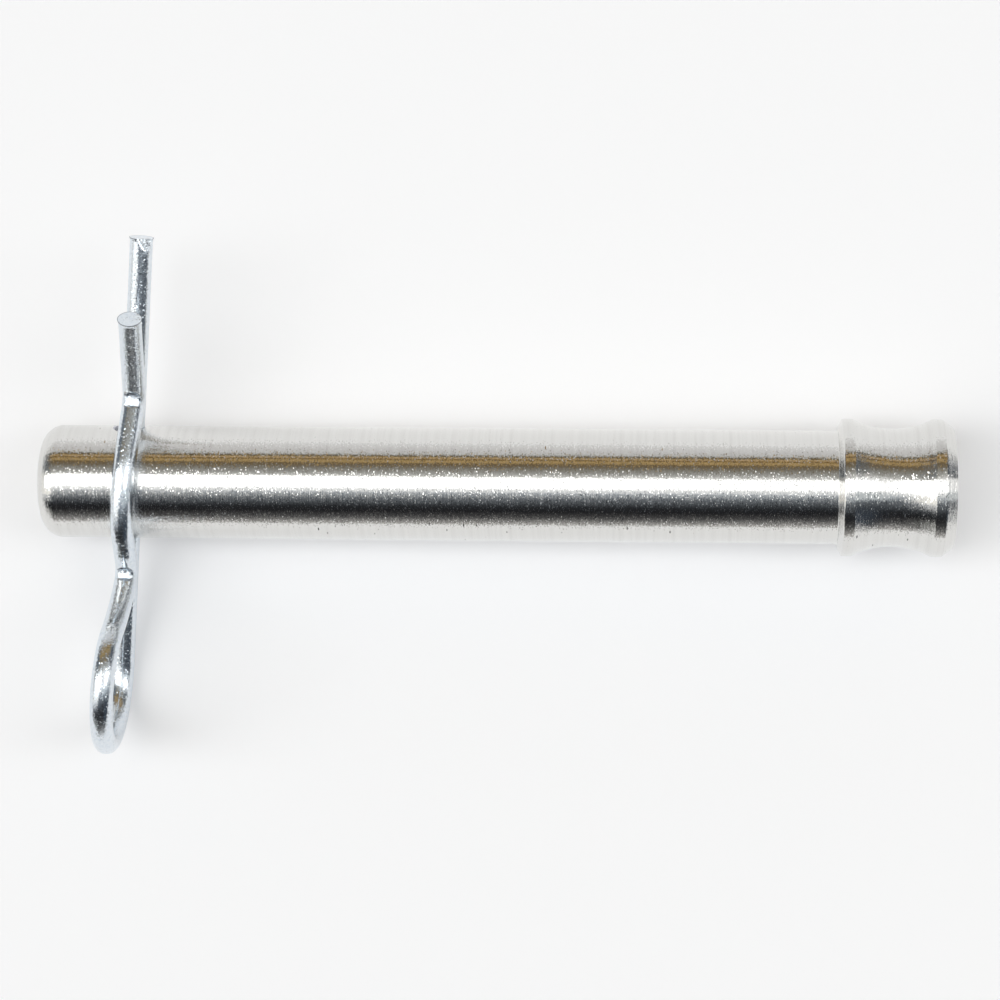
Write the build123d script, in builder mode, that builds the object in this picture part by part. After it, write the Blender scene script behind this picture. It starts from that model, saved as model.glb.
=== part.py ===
from build123d import *
import os
from math import acos, asin, atan, atan2, cos, degrees, hypot, radians, sin

# A hitch pin turned from one steel bar, held by a hairpin clip bent from one spring wire.
# The origin is on the pin's axis at its shoulder. +X runs towards the head, +Y towards the
# clip's free ends, and +Z is up. Pin and clip lie on a flat surface as they come to rest:
# on the collar, on the far end of the shank and on the clip's bow. All lengths are in mm.

# --- Pin: shank ---
shank_diameter = 15.875  # 5/8 in
shank_length = 111.2  # shoulder to tip
tip_chamfer = 2.4  # length and depth of the crowned chamfer on the tip
tip_crown = 0.52  # bulge of that chamfer
lead_relief = 0.02  # radius lost between the end of the grip and the tip, as an easy lead
lead_before_hole = 3.0  # the lead starts this far from the hole's centre, on the shoulder's side
root_fillet = 0.2  # corner where the shank meets the shoulder

# --- Pin: cross hole for the clip ---
hole_from_tip = 12.2
hole_diameter = 4.4
hole_edge_break = 0.2

# --- Pin: spool-shaped head ---
head_diameter = 19.3
shoulder_diameter = 17.0  # outer edge of the flat that meets the work
collar_bevel_length = 0.62
collar_end = 2.05  # near edge of the finger groove, from the shoulder
groove_width = 11.1
groove_depth = 1.4
rim_width = 1.4
end_chamfer_length = 1.55
end_chamfer_depth = 1.15

# --- Clip: wire, and how it sits ---
wire_diameter = 3.175  # 1/8 in
seat_clearance = 0.02  # left between the leaning leg and the wall of the hole
hump_clearance = 0.06  # left between the hump and the shank

# --- Clip: centreline sizes, along the straight leg from the pin's axis and across it ---
free_length = 34.8  # axis to the sheared end of the straight leg
bow_along = 26.65  # axis to the centre of the bow
bow_radius = 8.75
near_kink_along = 12.1  # axis to the kink between bow and hump
far_kink_along = -12.9  # axis to the kink between hump and tail
kink_across = 3.52  # straight leg to the lowest point of both kinks
kink_radius = 2.2
bow_side_angle = 46.0  # slope of the wire where it leaves the near kink for the bow
tail_angle = 25.0  # slope of the flared tail
tail_length = 12.4  # straight part of the tail
side_step = 0.48  # the kinks lie this far to the head's side of the straight leg

# --- Values that follow ---
shank_radius = shank_diameter / 2
head_radius = head_diameter / 2
hole_radius = hole_diameter / 2
wire_radius = wire_diameter / 2
tip_radius = shank_radius - lead_relief
tip_contact = shank_length - tip_chamfer
hole_from_shoulder = shank_length - hole_from_tip
lead_start = hole_from_shoulder - lead_before_hole
rim_start = collar_end + groove_width
rim_end = rim_start + rim_width
head_length = rim_end + end_chamfer_length
hump_radius = shank_radius + wire_radius + hump_clearance

# Collar and far end of the shank both touch the surface, so the axis falls towards the tip.
slope = degrees(atan((head_radius - tip_radius) / (tip_contact + collar_bevel_length)))
surface_drop = head_radius * cos(radians(slope)) - collar_bevel_length * sin(radians(slope))
hole_height = surface_drop - hole_from_shoulder * sin(radians(slope))

# The straight leg leans in the hole until it all but touches both ends of the wall.
hole_reach = shank_radius - hole_edge_break
skew = degrees(atan((hole_radius - wire_radius - seat_clearance) / hole_reach))

# The pin rolls until the bow touches the surface.
bow_reach = bow_along * cos(radians(skew))
skew_drop = bow_along * sin(radians(skew)) * sin(radians(slope))
bow_drop = hole_height - bow_radius - wire_radius - skew_drop
roll = degrees(asin(bow_drop / hypot(bow_reach, bow_radius)) + atan2(bow_radius, bow_reach))

# --- Planes ---
pin_direction = Vector(1, 0, 0).rotate(Axis.Y, -slope)
pin_axis = Axis((0, 0, 0), tuple(pin_direction))
profile_plane = Plane(origin=(0, 0, 0), x_dir=pin_direction, z_dir=(0, -1, 0))

hole_centre = pin_direction * -hole_from_shoulder
hole_direction = Vector(0, -1, 0).rotate(pin_axis, roll)
rise_direction = hole_direction.cross(pin_direction)
hole_plane = Plane(origin=hole_centre, x_dir=pin_direction, z_dir=hole_direction)

# The straight leg and the front half of the bow lie in one plane. The rest of the clip lies in
# a second plane, turned about the line that touches the top of the bow.
leg_direction = hole_direction.rotate(Axis((0, 0, 0), tuple(rise_direction)), -skew)
leg_plane = Plane(
    origin=hole_centre,
    x_dir=leg_direction,
    z_dir=leg_direction.cross(rise_direction),
)
bow_top = 2 * bow_radius
turn = degrees(asin(side_step / (bow_top - kink_across)))
turned_rise = rise_direction.rotate(Axis((0, 0, 0), tuple(leg_direction)), turn)
spring_plane = Plane(
    origin=hole_centre + rise_direction * bow_top - turned_rise * bow_top,
    x_dir=leg_direction,
    z_dir=leg_direction.cross(turned_rise),
)


def polar(centre, radius, angle):
    """The point of a circle at an angle in degrees, in a sketch plane."""
    return (
        centre[0] + radius * cos(radians(angle)),
        centre[1] + radius * sin(radians(angle)),
    )


def flank_angle(kink_centre, side):
    """Angle on the hump's circle where the straight flank to a kink leaves it (side is 1 or -1)."""
    spread = degrees(acos((hump_radius + kink_radius) / hypot(*kink_centre)))
    return degrees(atan2(kink_centre[1], kink_centre[0])) + side * spread


# --- Clip: circles that the wire follows ---
kink_height = kink_across + kink_radius
near_kink = (near_kink_along, kink_height)
far_kink = (far_kink_along, kink_height)
bow_centre = (bow_along, bow_radius)
near_flank = flank_angle(near_kink, 1)
far_flank = flank_angle(far_kink, -1)
near_kink_end = bow_side_angle - 90
far_kink_start = -90 - tail_angle
tail_start = polar(far_kink, kink_radius, far_kink_start)

# One sweeping arc leaves the near kink and runs tangent into the bow.
sweep_start = polar(near_kink, kink_radius, near_kink_end)
start_along = sweep_start[0] - bow_centre[0]
start_across = sweep_start[1] - bow_centre[1]
inward = cos(radians(near_kink_end)) * start_along + sin(radians(near_kink_end)) * start_across
chord_excess = start_along**2 + start_across**2 - bow_radius**2
sweep_radius = chord_excess / (2 * (bow_radius + inward))
sweep_centre = polar(sweep_start, sweep_radius, near_kink_end + 180)
sweep_end = degrees(
    atan2(bow_centre[1] - sweep_centre[1], bow_centre[0] - sweep_centre[0])
)
bow_end = sweep_end + 180


# ---------------------------------------------------------------- hitch pin
with BuildPart() as hitch_pin:
    with BuildSketch(profile_plane):
        with BuildLine():
            Line((-shank_length, 0), (-shank_length, shank_radius - tip_chamfer))
            SagittaArc(
                (-shank_length, shank_radius - tip_chamfer),
                (-tip_contact, tip_radius),
                tip_crown,
            )
            Line((-tip_contact, tip_radius), (-lead_start, shank_radius))
            Line((-lead_start, shank_radius), (-root_fillet, shank_radius))
            TangentArc(
                (-root_fillet, shank_radius),
                (0, shank_radius + root_fillet),
                tangent=(1, 0),
            )
            Line((0, shank_radius + root_fillet), (0, shoulder_diameter / 2))
            Line((0, shoulder_diameter / 2), (collar_bevel_length, head_radius))
            Line((collar_bevel_length, head_radius), (collar_end, head_radius))
            SagittaArc((collar_end, head_radius), (rim_start, head_radius), -groove_depth)
            Line((rim_start, head_radius), (rim_end, head_radius))
            Line((rim_end, head_radius), (head_length, head_radius - end_chamfer_depth))
            Line((head_length, head_radius - end_chamfer_depth), (head_length, 0))
            Line((head_length, 0), (-shank_length, 0))
        make_face()
    revolve(axis=pin_axis)
    with BuildSketch(hole_plane):
        Circle(hole_radius)
    extrude(amount=shank_diameter, both=True, mode=Mode.SUBTRACT)
    mouths = hitch_pin.edges(Select.LAST).filter_by(GeomType.BSPLINE)
    chamfer(mouths, hole_edge_break)

hitch_pin.part.label = "hitch_pin"


# ---------------------------------------------------------------- hairpin clip
with BuildPart() as hairpin_clip:
    with BuildLine(leg_plane) as straight_leg:
        Line((-free_length, 0), (bow_along, 0))
        CenterArc(bow_centre, bow_radius, -90, 180)
    with BuildLine(spring_plane) as spring_leg:
        CenterArc(bow_centre, bow_radius, 90, bow_end - 90)
        CenterArc(sweep_centre, sweep_radius, near_kink_end, sweep_end - near_kink_end)
        CenterArc(
            near_kink, kink_radius, near_flank - 180, near_kink_end - near_flank + 180
        )
        Line(
            polar((0, 0), hump_radius, near_flank),
            polar(near_kink, kink_radius, near_flank - 180),
        )
        CenterArc((0, 0), hump_radius, near_flank, far_flank - near_flank)
        Line(
            polar((0, 0), hump_radius, far_flank),
            polar(far_kink, kink_radius, far_flank - 180),
        )
        CenterArc(far_kink, kink_radius, far_kink_start, far_flank - 180 - far_kink_start)
        Line(tail_start, polar(tail_start, tail_length, 180 - tail_angle))
    with BuildSketch(Plane(origin=straight_leg.line @ 0, z_dir=straight_leg.line % 0)):
        Circle(wire_radius)
    wire_path = Wire(straight_leg.edges() + spring_leg.edges())
    sweep(path=wire_path)

hairpin_clip.part.label = "hairpin_clip"


# ---------------------------------------------------------------- hand over
os.makedirs("parts", exist_ok=True)
export_step(hitch_pin.part, "parts/hitch_pin.step")
export_step(hairpin_clip.part, "parts/hairpin_clip.step")
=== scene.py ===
"""A quick release hitch pin with its hairpin clip, lying on a pale surface in a plain studio.

All lengths are metres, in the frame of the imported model: the origin is on the pin's axis at its
shoulder, +X runs towards the head, +Y towards the clip's free ends, and +Z is up.
"""

import logging
from dataclasses import dataclass, field
from enum import Enum
from functools import reduce
from math import acos, asin, atan, atan2, ceil, cos, degrees, hypot, pi, radians, sin, sqrt
from typing import Optional, Sequence

import bmesh
import bpy
from mathutils import Matrix, Vector


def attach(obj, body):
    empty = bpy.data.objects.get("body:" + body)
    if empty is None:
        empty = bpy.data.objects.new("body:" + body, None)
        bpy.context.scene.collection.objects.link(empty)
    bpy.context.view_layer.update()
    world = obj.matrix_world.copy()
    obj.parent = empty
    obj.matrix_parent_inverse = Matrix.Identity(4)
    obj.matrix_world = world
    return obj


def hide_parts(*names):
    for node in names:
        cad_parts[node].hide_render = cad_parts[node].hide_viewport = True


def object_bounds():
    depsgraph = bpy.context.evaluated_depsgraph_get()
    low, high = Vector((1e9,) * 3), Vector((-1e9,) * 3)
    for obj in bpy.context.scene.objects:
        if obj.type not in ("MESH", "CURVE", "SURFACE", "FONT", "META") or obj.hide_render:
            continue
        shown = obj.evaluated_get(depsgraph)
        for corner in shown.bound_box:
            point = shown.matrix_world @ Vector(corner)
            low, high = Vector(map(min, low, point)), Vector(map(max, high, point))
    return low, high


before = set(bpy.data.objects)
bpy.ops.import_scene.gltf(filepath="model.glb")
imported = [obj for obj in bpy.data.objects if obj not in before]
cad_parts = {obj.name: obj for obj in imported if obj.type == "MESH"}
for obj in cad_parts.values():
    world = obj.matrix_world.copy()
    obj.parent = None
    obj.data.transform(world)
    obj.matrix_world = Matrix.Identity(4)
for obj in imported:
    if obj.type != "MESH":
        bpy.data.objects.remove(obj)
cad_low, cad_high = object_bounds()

logging.basicConfig(level=logging.INFO, format="%(name)s: %(message)s")
log = logging.getLogger("hitch_pin_scene")

MM = 0.001
Point2 = tuple[float, float]
Point3 = tuple[float, float, float]
Colour = tuple[float, float, float]
Material = bpy.types.Material
Node = bpy.types.Node
NodeTree = bpy.types.NodeTree
Piece = bpy.types.Object
Shell = bmesh.types.BMesh
Socket = bpy.types.NodeSocket
Vertex = bmesh.types.BMVert


class Body(Enum):
    """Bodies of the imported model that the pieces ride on."""

    PIN = "pin"
    CLIP = "clip"


class Slot(Enum):
    """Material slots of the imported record."""

    TURNED_STEEL = "turned_steel"
    ZINC_WIRE = "zinc_wire"


# --- Sizes ---


@dataclass(frozen=True)
class PinSizes:
    """Sizes of the turned pin."""

    shank_radius: float = 7.9375 * MM
    shank_length: float = 111.2 * MM
    tip_chamfer: float = 2.4 * MM
    tip_crown: float = 0.52 * MM
    lead_relief: float = 0.02 * MM
    lead_before_hole: float = 3.0 * MM
    root_fillet: float = 0.2 * MM
    hole_from_tip: float = 12.2 * MM
    hole_radius: float = 2.2 * MM
    hole_edge_break: float = 0.2 * MM
    head_radius: float = 9.65 * MM
    shoulder_radius: float = 8.5 * MM
    collar_bevel_length: float = 0.62 * MM
    collar_end: float = 2.05 * MM
    groove_width: float = 11.1 * MM
    groove_depth: float = 1.4 * MM
    rim_width: float = 1.4 * MM
    end_chamfer_length: float = 1.55 * MM
    end_chamfer_depth: float = 1.15 * MM

    @property
    def tip_radius(self) -> float:
        """Radius where the crowned chamfer of the tip begins."""
        return self.shank_radius - self.lead_relief

    @property
    def tip_contact(self) -> float:
        """Distance from the shoulder to where the crowned chamfer begins."""
        return self.shank_length - self.tip_chamfer

    @property
    def hole_from_shoulder(self) -> float:
        """Distance from the shoulder to the centre of the cross hole."""
        return self.shank_length - self.hole_from_tip

    @property
    def rim_start(self) -> float:
        """Distance from the shoulder to the far edge of the finger groove."""
        return self.collar_end + self.groove_width

    @property
    def rim_end(self) -> float:
        """Distance from the shoulder to the chamfer on the head's end."""
        return self.rim_start + self.rim_width

    @property
    def head_length(self) -> float:
        """Distance from the shoulder to the head's end face."""
        return self.rim_end + self.end_chamfer_length


@dataclass(frozen=True)
class ClipSizes:
    """Sizes of the spring wire and of the line that its centre follows."""

    wire_radius: float = 1.5875 * MM
    seat_clearance: float = 0.02 * MM
    hump_clearance: float = 0.06 * MM
    free_length: float = 34.8 * MM
    bow_along: float = 26.65 * MM
    bow_radius: float = 8.75 * MM
    near_kink_along: float = 12.1 * MM
    far_kink_along: float = -12.9 * MM
    kink_across: float = 3.52 * MM
    kink_radius: float = 2.2 * MM
    bow_side_angle: float = 46.0
    tail_angle: float = 25.0
    tail_length: float = 12.4 * MM
    side_step: float = 0.48 * MM


@dataclass(frozen=True)
class CutEnd:
    """A sheared end of the wire: its centre, the way it faces, and the wire's radius."""

    point: Vector
    heading: Vector
    radius: float


@dataclass(frozen=True)
class SketchPlane:
    """A plane with its own two directions, in which outlines are drawn."""

    origin: Vector
    along: Vector
    across: Vector

    def place(self, point: Point2) -> Vector:
        """The point of space that a point of the plane stands for."""
        return self.origin + self.along * point[0] + self.across * point[1]


def turned(vector: Vector, axis: Vector, angle: float) -> Vector:
    """A vector turned about an axis through the origin.

    Args:
        vector: The vector to turn.
        axis: Direction of the axis.
        angle: Angle in degrees, by the right hand rule.

    Returns:
        The turned vector.
    """
    return Matrix.Rotation(radians(angle), 3, axis) @ vector


class RestingPose:
    """How pin and clip lie on the surface, worked out from their sizes.

    The collar and the far end of the shank both touch the surface, so the pin's axis falls a
    little towards the tip. The clip's straight leg leans in the hole, and the pin rolls until
    the clip's bow touches the surface.
    """

    def __init__(self, pin: PinSizes, clip: ClipSizes) -> None:
        """Works out the directions.

        Args:
            pin: Sizes of the pin.
            clip: Sizes of the clip.
        """
        slope = atan(
            (pin.head_radius - pin.tip_radius) / (pin.tip_contact + pin.collar_bevel_length)
        )
        drop = pin.head_radius * cos(slope) - pin.collar_bevel_length * sin(slope)
        hole_height = drop - pin.hole_from_shoulder * sin(slope)
        reach = pin.shank_radius - pin.hole_edge_break
        skew = atan((pin.hole_radius - clip.wire_radius - clip.seat_clearance) / reach)
        bow_reach = clip.bow_along * cos(skew)
        skew_drop = clip.bow_along * sin(skew) * sin(slope)
        bow_drop = hole_height - clip.bow_radius - clip.wire_radius - skew_drop
        roll = asin(bow_drop / hypot(bow_reach, clip.bow_radius)) + atan2(
            clip.bow_radius, bow_reach
        )
        self.axis = turned(Vector((1, 0, 0)), Vector((0, 1, 0)), -degrees(slope))
        self.hole_centre = self.axis * -pin.hole_from_shoulder
        self.hole = turned(Vector((0, -1, 0)), self.axis, degrees(roll))
        self.rise = self.hole.cross(self.axis)
        self.leg = turned(self.hole, self.rise, -degrees(skew))

    def spot(self, along: float, out: float, angle: float) -> Vector:
        """The point at a place along the pin's axis, a radius, and an angle in radians."""
        return self.axis * along + (self.hole * cos(angle) + self.rise * sin(angle)) * out


# --- Sketch helpers ---


def polar(centre: Point2, radius: float, angle: float) -> Point2:
    """The point of a circle at an angle in degrees."""
    return (
        centre[0] + radius * cos(radians(angle)),
        centre[1] + radius * sin(radians(angle)),
    )


def arc_points(
    centre: Point2, radius: float, start: float, end: float, spacing: float
) -> list[Point2]:
    """Points along an arc, its first left out and its last kept.

    Args:
        centre: Centre of the arc.
        radius: Its radius.
        start: Angle of its start in degrees.
        end: Angle of its end in degrees.
        spacing: Distance between the points, at most.

    Returns:
        The points in order.
    """
    count = max(2, ceil(radius * abs(radians(end - start)) / spacing))
    return [
        polar(centre, radius, start + (end - start) * step / count)
        for step in range(1, count + 1)
    ]


def line_points(start: Point2, end: Point2, spacing: float) -> list[Point2]:
    """Points along a line, its start left out and its end kept.

    Args:
        start: First end of the line.
        end: Last end of the line.
        spacing: Distance between the points, at most.

    Returns:
        The points in order.
    """
    count = max(1, ceil(hypot(end[0] - start[0], end[1] - start[1]) / spacing))
    return [
        (
            start[0] + (end[0] - start[0]) * step / count,
            start[1] + (end[1] - start[1]) * step / count,
        )
        for step in range(1, count + 1)
    ]


def bulged_points(start: Point2, end: Point2, bulge: float, count: int) -> list[Point2]:
    """Points along a shallow arc between two points, both ends kept.

    Args:
        start: First end of the arc.
        end: Last end of the arc.
        bulge: Height of the arc over its chord, to the left of the way from start to end.
        count: Number of steps along the arc.

    Returns:
        The points in order.
    """
    chord = Vector((end[0] - start[0], end[1] - start[1]))
    half = chord.length / 2
    radius = (half * half + bulge * bulge) / (2 * abs(bulge))
    left = Vector((-chord.y, chord.x)).normalized() * (1 if bulge > 0 else -1)
    middle = Vector(start) + chord / 2
    centre = middle - left * (radius - abs(bulge))
    spread = asin(half / radius)
    heading = chord.normalized()
    points = []
    for step in range(count + 1):
        angle = -spread + 2 * spread * step / count
        point = centre + left * (radius * cos(angle)) + heading * (radius * sin(angle))
        points.append((point.x, point.y))
    return points


# --- Shader tools ---

FLOAT = "NodeSocketFloat"
VECTOR = "NodeSocketVector"
NODE_GAP = 40


class NodeBench:
    """Places and joins the nodes of one tree."""

    def __init__(self, tree: NodeTree) -> None:
        """Starts on a tree, which is emptied."""
        self.tree = tree
        tree.nodes.clear()

    def add(self, kind: str, inputs: Optional[dict[str, object]] = None, **values: object) -> Node:
        """Adds a node.

        Args:
            kind: The node's type name.
            inputs: What its named inputs are joined to or set to.
            **values: Values of the node's own properties.

        Returns:
            The new node.
        """
        node = self.tree.nodes.new(kind)
        for name, value in values.items():
            setattr(node, name, value)
        node.location = (len(self.tree.nodes) * NODE_GAP, 0)
        for name, source in (inputs or {}).items():
            self.put(node.inputs[name], source)
        return node

    def put(self, socket: Socket, source: object) -> None:
        """Joins a socket to another, or sets its value where the source isn't a socket.

        Args:
            socket: The input.
            source: An output, or a value.
        """
        if isinstance(source, Socket):
            self.tree.links.new(source, socket)
        elif isinstance(source, tuple) and len(source) == 3 and socket.type == "RGBA":
            socket.default_value = (*source, 1.0)
        else:
            socket.default_value = source

    def math(self, operation: str, *sources: object) -> Socket:
        """Adds a Math node.

        Args:
            operation: Its operation.
            *sources: A socket or a number for each input.

        Returns:
            Its output.
        """
        node = self.add("ShaderNodeMath", operation=operation)
        for socket, source in zip(node.inputs, sources):
            self.put(socket, source)
        return node.outputs[0]

    def product(self, *factors: object) -> Socket:
        """Multiplies two or more sockets or numbers."""
        return reduce(lambda first, second: self.math("MULTIPLY", first, second), factors)

    def vector(self, operation: str, *sources: object) -> Socket:
        """Adds a Vector Math node.

        Args:
            operation: Its operation.
            *sources: A socket or a vector for each input.

        Returns:
            The output that the operation uses.
        """
        node = self.add("ShaderNodeVectorMath", operation=operation)
        for socket, source in zip(node.inputs, sources):
            self.put(socket, source)
        return node.outputs["Value" if operation in {"DOT_PRODUCT", "LENGTH"} else "Vector"]

    def scaled(self, vector: object, amount: object) -> Socket:
        """Scales a vector by a socket or a number."""
        node = self.add("ShaderNodeVectorMath", {"Scale": amount}, operation="SCALE")
        self.put(node.inputs[0], vector)
        return node.outputs["Vector"]

    def split(self, vector: object) -> tuple[Socket, ...]:
        """The three parts of a vector."""
        return tuple(self.add("ShaderNodeSeparateXYZ", {"Vector": vector}).outputs)

    def off_line(self, place: object, point: Vector, heading: Vector) -> tuple[Socket, Socket]:
        """How far a place lies along a line, and away from it.

        Args:
            place: The place.
            point: A point of the line.
            heading: The line's direction.

        Returns:
            The distance from the point along the line, and the distance from the line.
        """
        away = self.vector("SUBTRACT", place, tuple(point))
        across = self.vector("CROSS_PRODUCT", away, tuple(heading))
        along = self.vector("DOT_PRODUCT", away, tuple(heading))
        return along, self.vector("LENGTH", across)

    def blend(self, factor: object, first: object, second: object) -> Socket:
        """Adds a Mix node for colours.

        Args:
            factor: How far the result goes from the first colour to the second.
            first: The first colour.
            second: The second colour.

        Returns:
            The mixed colour.
        """
        sources = {"Factor": factor, "A": first, "B": second}
        node = self.add("ShaderNodeMix", sources, data_type="RGBA")
        return next(out for out in node.outputs if out.type == "RGBA")

    def remap(
        self,
        value: object,
        low: float,
        high: float,
        to_low: float = 0.0,
        to_high: float = 1.0,
        smooth: bool = False,
    ) -> Socket:
        """Adds a clamped Map Range node.

        Args:
            value: What is mapped.
            low: Start of the range that it comes from.
            high: End of that range.
            to_low: What the start becomes.
            to_high: What the end becomes.
            smooth: Whether the step between them is smooth.

        Returns:
            The mapped value.
        """
        sources = (value, low, high, to_low, to_high)
        names = ("Value", "From Min", "From Max", "To Min", "To Max")
        kind = "SMOOTHSTEP" if smooth else "LINEAR"
        node = self.add("ShaderNodeMapRange", dict(zip(names, sources)), interpolation_type=kind)
        return node.outputs["Result"]

    def noise(self, vector: object, scale: object, detail: float, roughness: float = 0.5) -> Socket:
        """Adds a Noise Texture.

        Args:
            vector: Where it is read.
            scale: Its scale.
            detail: Its detail.
            roughness: How strong the detail is.

        Returns:
            Its value.
        """
        sources = {"Vector": vector, "Scale": scale, "Detail": detail, "Roughness": roughness}
        return self.add("ShaderNodeTexNoise", sources).outputs[0]

    def line_noise(self, place: object, pitch: float, detail: float) -> Socket:
        """Adds a Noise Texture that changes along a line only.

        Args:
            place: Place along the line.
            pitch: Distance between its waves.
            detail: Its detail.

        Returns:
            Its value.
        """
        sources = {"W": place, "Scale": 1 / pitch, "Detail": detail}
        return self.add("ShaderNodeTexNoise", sources, noise_dimensions="1D").outputs[0]

    def ramp(self, factor: object, stops: Sequence[tuple[float, Colour]]) -> Socket:
        """Adds a Color Ramp.

        Args:
            factor: The value that picks the colour.
            stops: Place and colour of each stop, in order.

        Returns:
            The colour.
        """
        node = self.add("ShaderNodeValToRGB", {"Fac": factor})
        band = node.color_ramp
        while len(band.elements) < len(stops):
            band.elements.new(0.5)
        for element, (place, colour) in zip(band.elements, stops):
            element.position = place
            element.color = (*colour, 1.0)
        return node.outputs["Color"]


def new_group(
    name: str, inputs: Sequence[tuple[str, str, object]], outputs: Sequence[tuple[str, str]]
) -> tuple[NodeTree, NodeBench, bpy.types.bpy_prop_collection, Node]:
    """Makes an empty shader group with named sockets.

    Args:
        name: The group's name.
        inputs: Name, socket type and value of each input.
        outputs: Name and socket type of each output.

    Returns:
        The group, a bench on it, the outputs of its Group Input, and its Group Output.
    """
    group = bpy.data.node_groups.new(name, "ShaderNodeTree")
    for label, kind, value in inputs:
        socket = group.interface.new_socket(name=label, in_out="INPUT", socket_type=kind)
        if value is not None:
            socket.default_value = value
    for label, kind in outputs:
        group.interface.new_socket(name=label, in_out="OUTPUT", socket_type=kind)
    bench = NodeBench(group)
    return group, bench, bench.add("NodeGroupInput").outputs, bench.add("NodeGroupOutput")


class EffectGroups:
    """Shader groups of the two metals' finishes."""

    def __init__(self) -> None:
        """Builds every group once."""
        self.speckle = self._speckle()
        self.facet_normal = self._facet_normal()
        self.ticks = self._ticks()

    @staticmethod
    def _ticks() -> NodeTree:
        """Sparse short tool ticks that run round an axis.

        Returns:
            The group.
        """
        group, bench, given, result = new_group(
            "Metal Tool Ticks",
            [
                ("Vector", VECTOR, None),
                ("Axis", VECTOR, (1.0, 0.0, 0.0)),
                ("Along", FLOAT, 0.0),
                ("Squeeze", FLOAT, 3.0),
                ("Scale", FLOAT, 420.0),
                ("Share", FLOAT, 0.16),
                ("Patch Scale", FLOAT, 90.0),
            ],
            [("Mask", FLOAT)],
        )
        patch_edge = (0.48, 0.60)
        tick_edge = (0.16, 0.08)
        push = bench.scaled(given["Axis"], bench.product(given["Along"], given["Squeeze"]))
        sources = {"Vector": bench.vector("ADD", given["Vector"], push), "Scale": given["Scale"]}
        cells = bench.add("ShaderNodeTexVoronoi", sources)
        chance = bench.split(cells.outputs["Color"])[0]
        chosen = bench.math("LESS_THAN", chance, given["Share"])
        patch = bench.noise(given["Vector"], given["Patch Scale"], 1.0)
        near = bench.remap(cells.outputs["Distance"], *tick_edge)
        mask = bench.product(near, chosen, bench.remap(patch, *patch_edge))
        bench.put(result.inputs["Mask"], mask)
        return group

    @staticmethod
    def _facet_normal() -> NodeTree:
        """Leans the normal from grain to grain: most grains a little, a few of them far.

        Returns:
            The group.
        """
        group, bench, given, result = new_group(
            "Metal Facet Normal",
            [("Vector", VECTOR, None), ("Scale", FLOAT, 5000.0), ("Lean", FLOAT, 1.0)],
            [("Normal", VECTOR)],
        )
        sources = {"Vector": given["Vector"], "Scale": given["Scale"]}
        grain = bench.add("ShaderNodeTexVoronoi", sources)
        centred = bench.vector("SUBTRACT", grain.outputs["Color"], (0.5, 0.5, 0.5))
        # The ninth power of the colour's distance from grey leaves few grains that lean far.
        power = centred
        for _ in range(3):
            power = bench.vector("MULTIPLY", power, power)
        push = bench.scaled(bench.vector("MULTIPLY", power, centred), given["Lean"])
        normal = bench.add("ShaderNodeNewGeometry").outputs["Normal"]
        leaning = bench.vector("NORMALIZE", bench.vector("ADD", normal, push))
        bench.put(result.inputs["Normal"], leaning)
        return group

    @staticmethod
    def _speckle() -> NodeTree:
        """Small pits and grains: an even grain, and a mask of sparse dark pits.

        Returns:
            The group.
        """
        group, bench, given, result = new_group(
            "Metal Speckle",
            [
                ("Vector", VECTOR, None),
                ("Grain Scale", FLOAT, 2500.0),
                ("Pit Scale", FLOAT, 900.0),
                ("Patch Scale", FLOAT, 320.0),
            ],
            [("Grain", FLOAT), ("Pits", FLOAT)],
        )
        pitted_patch = (0.62, 0.80)
        largest_pit = 0.22
        pit_edge = 0.12
        grain = bench.noise(given["Vector"], given["Grain Scale"], 3.0, 0.6)
        sources = {"Vector": given["Vector"], "Scale": given["Pit Scale"]}
        cells = bench.add("ShaderNodeTexVoronoi", sources)
        chance = bench.noise(given["Vector"], given["Patch Scale"], 1.0)
        size = bench.remap(chance, *pitted_patch, 0.0, largest_pit)
        depth = bench.math("SUBTRACT", size, cells.outputs["Distance"])
        bench.put(result.inputs["Grain"], grain)
        bench.put(result.inputs["Pits"], bench.remap(depth, 0.0, pit_edge))
        return group


def shader_material(name: str) -> tuple[Material, NodeBench, Node]:
    """A new material with a Principled BSDF joined to its output.

    Args:
        name: The material's name.

    Returns:
        The material, a bench on its tree and its Principled BSDF.
    """
    material = bpy.data.materials.new(name)
    material.use_nodes = True
    bench = NodeBench(material.node_tree)
    shader = bench.add("ShaderNodeBsdfPrincipled", {"Metallic": 1.0})
    bench.add("ShaderNodeOutputMaterial", {"Surface": shader.outputs["BSDF"]})
    return material, bench, shader


# --- Finishes ---

GRAIN_RANGE = (0.3, 0.7)


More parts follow.
